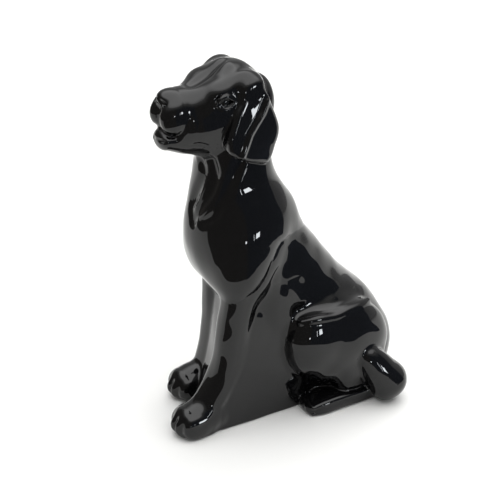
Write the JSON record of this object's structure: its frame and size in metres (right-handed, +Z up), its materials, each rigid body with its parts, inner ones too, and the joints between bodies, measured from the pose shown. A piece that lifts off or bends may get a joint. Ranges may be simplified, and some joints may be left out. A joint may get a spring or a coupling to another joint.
{
  "type": "glass dog figurine",
  "caption": "Sitting dog pressed in opaque black glass, with hanging ears, an open mouth, a web of glass between its legs and a flat underside.",
  "frame": {"origin": "on the flat underside, in the dog's middle plane, below the belly between the forelegs and the hind feet", "axes": "+Z up, -Y the way the dog faces, +X the dog's left side, where the tail lies"},
  "size_m": [0.0566, 0.0866, 0.1181],
  "materials": {
    "black_glass": "opaque black pressed glass, fire-polished to a wet gloss"
  },
  "bodies": {
    "root": {"torso": "black_glass", "head": "black_glass", "lower_jaw": "black_glass", "left_ear": "black_glass", "right_ear": "black_glass", "left_foreleg": "black_glass", "right_foreleg": "black_glass", "leg_web": "black_glass", "left_haunch": "black_glass", "right_haunch": "black_glass", "left_hind_foot": "black_glass", "right_hind_foot": "black_glass", "tail": "black_glass"}
  },
  "joints": []
}
